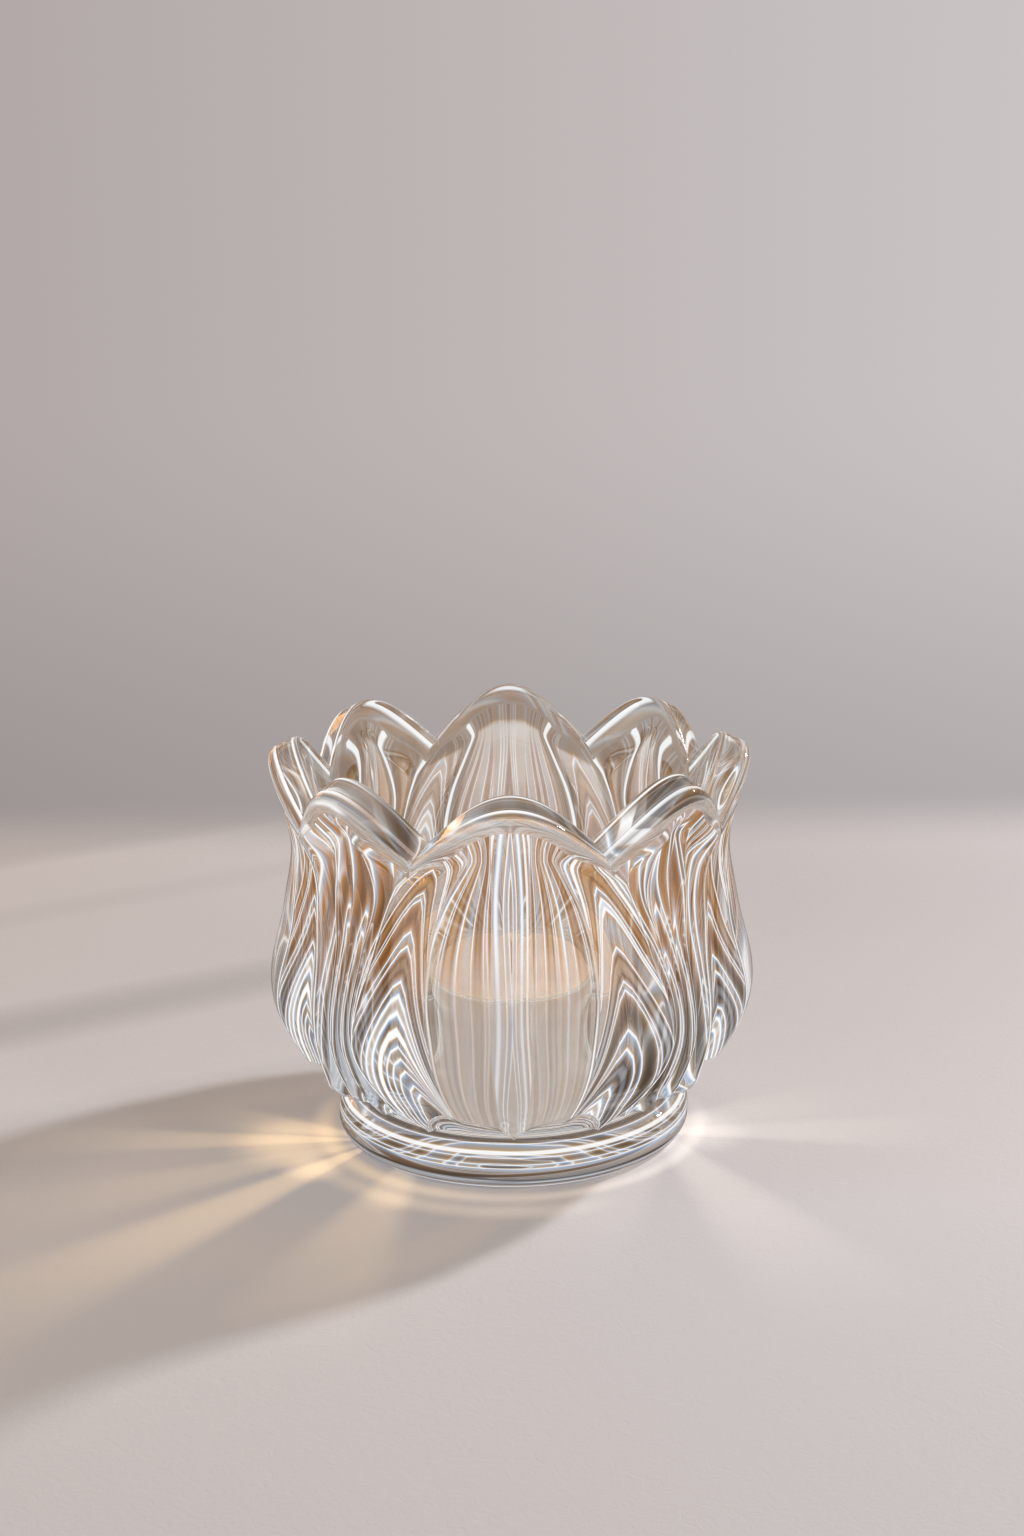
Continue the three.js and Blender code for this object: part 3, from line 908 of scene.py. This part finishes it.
set_stops(inner_strength, ((0.12, "#000000"), (0.36, "#E8E8E8"), (0.7, "#D4D4D4"), (0.9, "#FFFFFF")))
inner_tones = add_node(tree, "ShaderNodeValToRGB", i0=ridge.outputs["Fac"])
set_stops(inner_tones, ((0.3, "#9A7F63"), (0.5, "#6B5A4B"), (0.75, "#6E5B47"), (0.85, "#F6F8FA")))
broken = add_node(
    tree, "ShaderNodeMapRange", SMOOTH, Value=sway.outputs[0],
    From_Min=broken_at[0], From_Max=broken_at[1], To_Min=weakest_ridge, To_Max=1,
)
glow = add_node(
    tree, "ShaderNodeMath", {"operation": "MULTIPLY"}, i0=ridge_strength.outputs[0],
    i1=broken.outputs[0],
)
side_glow = add_node(
    tree, "ShaderNodeMix", {"data_type": "FLOAT"}, i0=geometry.outputs["Backfacing"],
    i2=glow.outputs[0], i3=inner_strength.outputs[0],
)
side_tones = add_node(
    tree, "ShaderNodeMix", COLOURS, i0=geometry.outputs["Backfacing"],
    i6=ridge_tones.outputs[0], i7=inner_tones.outputs[0],
)
glow_tone = add_node(
    tree, "ShaderNodeMix", COLOURS, i0=side_glow.outputs[0],
    i6=line_tones.outputs[2], i7=side_tones.outputs[2],
)

# Where the glass is met at a grazing angle, a dark tone is painted over it, as a painted reflection of the
# room's dark.
grazing_from = 0.86
grazing_to = 0.95
grazing_share = 0.75
grazing = add_node(tree, "ShaderNodeLayerWeight", Blend=0.5)
rim_dark = add_node(
    tree, "ShaderNodeMapRange", SMOOTH, Value=grazing.outputs["Facing"],
    From_Min=grazing_from, From_Max=grazing_to, To_Min=0, To_Max=grazing_share,
)
front_dark = add_node(
    tree, "ShaderNodeMix", {"data_type": "FLOAT"}, i0=geometry.outputs["Backfacing"],
    i2=rim_dark.outputs[0], i3=0,
)
edged_tone = add_node(
    tree, "ShaderNodeMix", COLOURS, i0=front_dark.outputs[0],
    i6=glow_tone.outputs[2], i7=linear("#54493F"),
)

# Light that has been mirrored once, or has passed more than six surfaces, ends in the painted tones, given
# off as emission.
mirrored_from = 0.5
long_way_from = 6.5
path = add_node(tree, "ShaderNodeLightPath")
long_way = add_node(
    tree, "ShaderNodeMath", {"operation": "GREATER_THAN"}, i0=path.outputs["Ray Depth"], i1=long_way_from,
)
mirrored = add_node(
    tree, "ShaderNodeMath", {"operation": "GREATER_THAN"}, i0=path.outputs["Glossy Depth"],
    i1=mirrored_from,
)
late = add_node(
    tree, "ShaderNodeMath", {"operation": "MAXIMUM"}, i0=long_way.outputs[0], i1=mirrored.outputs[0],
)
late_tone = add_node(
    tree, "ShaderNodeMix", COLOURS, i0=over_foot.outputs[0],
    i6=low_tones.outputs[0], i7=patch_tones.outputs[0],
)
shown_tone = add_node(
    tree, "ShaderNodeMix", COLOURS, i0=late.outputs[0],
    i6=edged_tone.outputs[2], i7=late_tone.outputs[2],
)
# The painted lines, patches and edges glow as emission and take the place of the glass by their share.
line_light = add_node(tree, "ShaderNodeEmission", Color=shown_tone.outputs[2])
painted_share = line_share
for share in (side_glow, front_dark, late):
    painted_share = add_node(
        tree, "ShaderNodeMath", {"operation": "MAXIMUM"}, i0=painted_share.outputs[0], i1=share.outputs[0],
    )
body = add_node(
    tree, "ShaderNodeMixShader", i0=painted_share.outputs[0], i1=shader.outputs[0], i2=line_light.outputs[0],
)
let_lamps_through(tree, body.outputs[0], 0.4, "#FFDBA8")


def finish_mesh(bm, name, material):
    """Closes poles and seams, turns the faces outwards and makes the object with its material."""
    bmesh.ops.remove_doubles(bm, verts=bm.verts, dist=1e-6)
    bmesh.ops.recalc_face_normals(bm, faces=bm.faces)
    for face in bm.faces:
        face.smooth = True
    mesh = bpy.data.meshes.new(name)
    bm.to_mesh(mesh)
    bm.free()
    mesh.materials.append(material)
    piece = bpy.data.objects.new(name, mesh)
    bpy.context.collection.objects.link(piece)
    return piece


crystal_holder = finish_mesh(bm, "crystal_holder", crystal)
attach(crystal_holder, "holder")
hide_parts("glass_holder")


def spun(outline, steps):
    """A bmesh turned from an outline of (radius, height) points that meets the axis or closes."""
    bm = bmesh.new()
    corners = [bm.verts.new((radius, 0, height)) for radius, height in outline]
    edges = [bm.edges.new(pair) for pair in zip(corners, corners[1:])]
    if outline[0][0] > 0:
        edges.append(bm.edges.new((corners[-1], corners[0])))
    bmesh.ops.spin(
        bm, geom=corners + edges, cent=(0, 0, 0), axis=(0, 0, 1), angle=2 * math.pi, steps=steps,
        use_merge=True, use_duplicate=False,
    )
    return bm


# Tealight cup. A thin cup drawn from a sheet of clear polycarbonate, with a turned-out bead round its mouth.
# It shows the wax through its wall and catches a bright line on the bead and on the bottom bend.
cup_low, cup_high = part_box("tealight_cup")
cup_radius, cup_height = cup_high.x, cup_high.z - cup_low.z
cup_wall = 0.5 * MM
cup_bend = 1.2 * MM
bead = 0.35 * MM
body_radius = cup_radius - bead
inner = body_radius - cup_wall
quarter = [math.pi / 2 * i / 6 for i in range(7)]
wall_steps = 12
outer_top, inner_top = cup_height - 2.6 * bead, cup_height - bead
outline = [(body_radius * i / 6, 0) for i in range(6)]
outline += [(body_radius - cup_bend * (1 - math.sin(a)), cup_bend * (1 - math.cos(a))) for a in quarter]
outline += [
    (body_radius, cup_bend + (outer_top - cup_bend) * i / wall_steps) for i in range(1, wall_steps + 1)
]
outline += [
    (body_radius + bead * math.cos(a), inner_top + bead * math.sin(a))
    for a in (math.pi * (i / 8 - 0.5) for i in range(9))
]
outline += [
    (inner, inner_top - (inner_top - cup_wall - cup_bend) * i / wall_steps) for i in range(wall_steps)
]
outline += [
    (inner - cup_bend * (1 - math.cos(a)), cup_wall + cup_bend * (1 - math.sin(a))) for a in quarter
]
outline += [((inner - cup_bend) * (1 - i / 5), cup_wall) for i in range(1, 6)]
bm = spun(outline, 128)
bmesh.ops.translate(bm, verts=bm.verts, vec=(0, 0, cup_low.z))

# Thermoformed polycarbonate. Drawing the warm sheet down the mould leaves faint upright marks, which blur
# what is seen through it a little. They are drawn wider than the real ones, to show. Mirrored light ends in a
# painted pale tone, given off as emission.
draw_mark = 1.6667 * MM
mark_stretch = 0.1
mark_depth = 0.05 * MM
polycarbonate, tree, shader = new_material(
    "clear drawn polycarbonate", Base_Color=linear("#FCFCFC"), Roughness=0.12, IOR=1.58,
    Transmission_Weight=1,
)
place = add_node(tree, "ShaderNodeTexCoord")
draw_marks = add_node(tree, "ShaderNodeMapping", Vector=place.outputs["Object"], Scale=(1, 1, mark_stretch))
streaks = add_node(tree, "ShaderNodeTexNoise", Vector=draw_marks.outputs[0], Scale=1 / draw_mark, Detail=2)
skin = add_node(tree, "ShaderNodeBump", Strength=0.2, Distance=mark_depth, Height=streaks.outputs[0])
tree.links.new(skin.outputs["Normal"], shader.inputs["Normal"])
path = add_node(tree, "ShaderNodeLightPath")
mirrored = add_node(
    tree, "ShaderNodeMath", {"operation": "GREATER_THAN"}, i0=path.outputs["Glossy Depth"],
    i1=mirrored_from,
)
body = add_node(
    tree, "ShaderNodeMixShader", i0=mirrored.outputs[0], i1=shader.outputs[0],
    i2=add_node(tree, "ShaderNodeEmission", Color=linear("#D9CFC4")).outputs[0],
)
let_lamps_through(tree, body.outputs[0], 0.9, "#FFFFFF")
cup = finish_mesh(bm, "clear_cup", polycarbonate)
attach(cup, "tealight")
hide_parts("tealight_cup")

# Wax. Ivory paraffin poured into the cup: it shrinks as it sets, so its top is dished and creeps up the wick.
# The wax is milky: light that falls on its top goes down into it and comes out softly at its side. A glow is
# also painted into the wax as emission, a little stronger on its side than on its top.
wax_low, wax_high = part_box("tealight_wax")
wick_low, wick_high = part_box("tealight_wick")
wax_radius = wax_high.x - bead
wax_bend = 1.2 * MM
wax_edge = 0.7 * MM
dish = 0.9 * MM
wick_bore = 1.0 * MM
sustainer_hollow = 6.8 * MM
hollow_roof = wax_low.z + 0.9 * MM
collar_bore = 1.8 * MM
collar_top = wax_low.z + 4.1 * MM
# Strengths of the glow painted into the wax as emission, and the depths below its top over which they change.
side_light = 0.22
top_light = 0.2
top_light_depth = 0.4 * MM
side_light_depth = 2.5 * MM
cloud_size = 8.333 * MM
skin_depth = 0.1 * MM
outline = [(sustainer_hollow, wax_low.z), (wax_radius - wax_bend, wax_low.z)]
outline += [
    (wax_radius - wax_bend * (1 - math.sin(a)), wax_low.z + wax_bend * (1 - math.cos(a)))
    for a in quarter[1:]
]
outline += [
    (wax_radius - wax_edge * (1 - math.cos(a)), wax_high.z - wax_edge * (1 - math.sin(a)))
    for a in quarter
]
top_span = wax_radius - wax_edge - wick_bore
outline += [
    (wax_radius - wax_edge - top_span * t, wax_high.z - dish * math.sin(math.pi * t) ** 2 * (1 - 0.4 * t))
    for t in (i / 16 for i in range(1, 17))
]
outline += [
    (wick_bore, collar_top), (collar_bore, collar_top), (collar_bore, hollow_roof),
    (sustainer_hollow, hollow_roof),
]
bm = spun(outline, 128)
wax_material, tree, shader = new_material(
    "poured ivory paraffin", Roughness=0.42, IOR=1.44, Subsurface_Weight=0.8,
    Subsurface_Radius=(1, 0.8, 0.55), Subsurface_Scale=4 * MM, Emission_Color=linear("#E6D8D2"),
)
place = add_node(tree, "ShaderNodeTexCoord")
clouds = add_node(tree, "ShaderNodeTexNoise", Vector=place.outputs["Object"], Scale=1 / cloud_size, Detail=3)
height = add_node(tree, "ShaderNodeSeparateXYZ", Vector=place.outputs["Object"])
painted_wax_glow = add_node(
    tree, "ShaderNodeMapRange", SMOOTH, Value=height.outputs["Z"],
    From_Min=wax_high.z - top_light_depth, From_Max=wax_high.z - side_light_depth,
    To_Min=top_light, To_Max=side_light,
)
tree.links.new(painted_wax_glow.outputs[0], shader.inputs["Emission Strength"])
milk = add_node(tree, "ShaderNodeValToRGB", i0=clouds.outputs[0])
set_stops(milk, ((0.3, "#EBE3DD"), (0.7, "#F4EEE9")))
tree.links.new(milk.outputs[0], shader.inputs["Base Color"])
skin = add_node(tree, "ShaderNodeBump", Strength=0.2, Distance=skin_depth, Height=clouds.outputs[0])
tree.links.new(skin.outputs["Normal"], shader.inputs["Normal"])
wax = finish_mesh(bm, "poured_wax", wax_material)
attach(wax, "tealight")
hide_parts("tealight_wax")

# Wick. Three waxed cotton strands twisted round each other, standing in the sustainer's collar. It stands
# upright before its first burning, and its cut end is flat. The wax leaves the cotton matt and ivory, with
# pale fibres. They are 0.02 mm thick, too fine to show, and are drawn wider.
strands = 3
strand_radius = 0.33 * MM
strand_offset = 0.36 * MM
strand_sides = 10
twist_pitch = 2.4 * MM
steps_per_turn = 16
fibre_width = 0.25 * MM
fibre_depth = 0.05 * MM
wick_height = wick_high.z - wick_low.z
wick_turns = wick_height / twist_pitch
wick_steps = round(steps_per_turn * wick_turns)
bm = bmesh.new()
for strand in range(strands):
    at = 2 * math.pi * strand / strands
    foot_of_strand = Vector((strand_offset * math.cos(at), strand_offset * math.sin(at), wick_low.z))
    ring = bmesh.ops.create_circle(
        bm, segments=strand_sides, radius=strand_radius, matrix=Matrix.Translation(foot_of_strand),
    )["verts"]
    edges = list({edge for vertex in ring for edge in vertex.link_edges})
    bmesh.ops.spin(
        bm, geom=ring + edges, cent=(0, 0, 0), axis=(0, 0, 1), dvec=(0, 0, wick_height / wick_steps),
        angle=2 * math.pi * wick_turns, steps=wick_steps, use_merge=False, use_duplicate=False,
    )
bmesh.ops.holes_fill(bm, edges=[edge for edge in bm.edges if edge.is_boundary], sides=strand_sides)
cotton, tree, shader = new_material("waxed twisted cotton", Roughness=0.8, Sheen_Weight=0.2)
place = add_node(tree, "ShaderNodeTexCoord")
fibres = add_node(
    tree, "ShaderNodeTexNoise", Vector=place.outputs["Object"], Scale=1 / fibre_width, Detail=3,
)
thread = add_node(tree, "ShaderNodeValToRGB", i0=fibres.outputs[0])
set_stops(thread, ((0, "#D8CDB9"), (1, "#F7F1E4")))
tree.links.new(thread.outputs[0], shader.inputs["Base Color"])
skin = add_node(tree, "ShaderNodeBump", Strength=0.5, Distance=fibre_depth, Height=fibres.outputs[0])
tree.links.new(skin.outputs["Normal"], shader.inputs["Normal"])
wick = finish_mesh(bm, "twisted_wick", cotton)
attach(wick, "tealight")
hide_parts("tealight_wick")

# Sustainer. A tab stamped from thin tinplate, with a collar crimped round the foot of the wick. It is the
# CAD's own mesh. Rolling leaves straight lines in the tin, which blur its shine one way. They are drawn wider
# than the real ones, which are too fine to show.
rolled_line = 0.2 * MM
line_stretch = 0.03
tinplate, tree, shader = new_material("rolled tinplate", Base_Color=linear("#CFCCC6"), Metallic=1)
place = add_node(tree, "ShaderNodeTexCoord")
rolling = add_node(tree, "ShaderNodeMapping", Vector=place.outputs["Object"], Scale=(1, line_stretch, 1))
lines = add_node(tree, "ShaderNodeTexNoise", Vector=rolling.outputs[0], Scale=1 / rolled_line, Detail=2)
gloss = add_node(tree, "ShaderNodeMapRange", Value=lines.outputs[0], To_Min=0.22, To_Max=0.4)
tree.links.new(gloss.outputs[0], shader.inputs["Roughness"])
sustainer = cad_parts["wick_sustainer"]
sustainer.data.materials.clear()
sustainer.data.materials.append(tinplate)
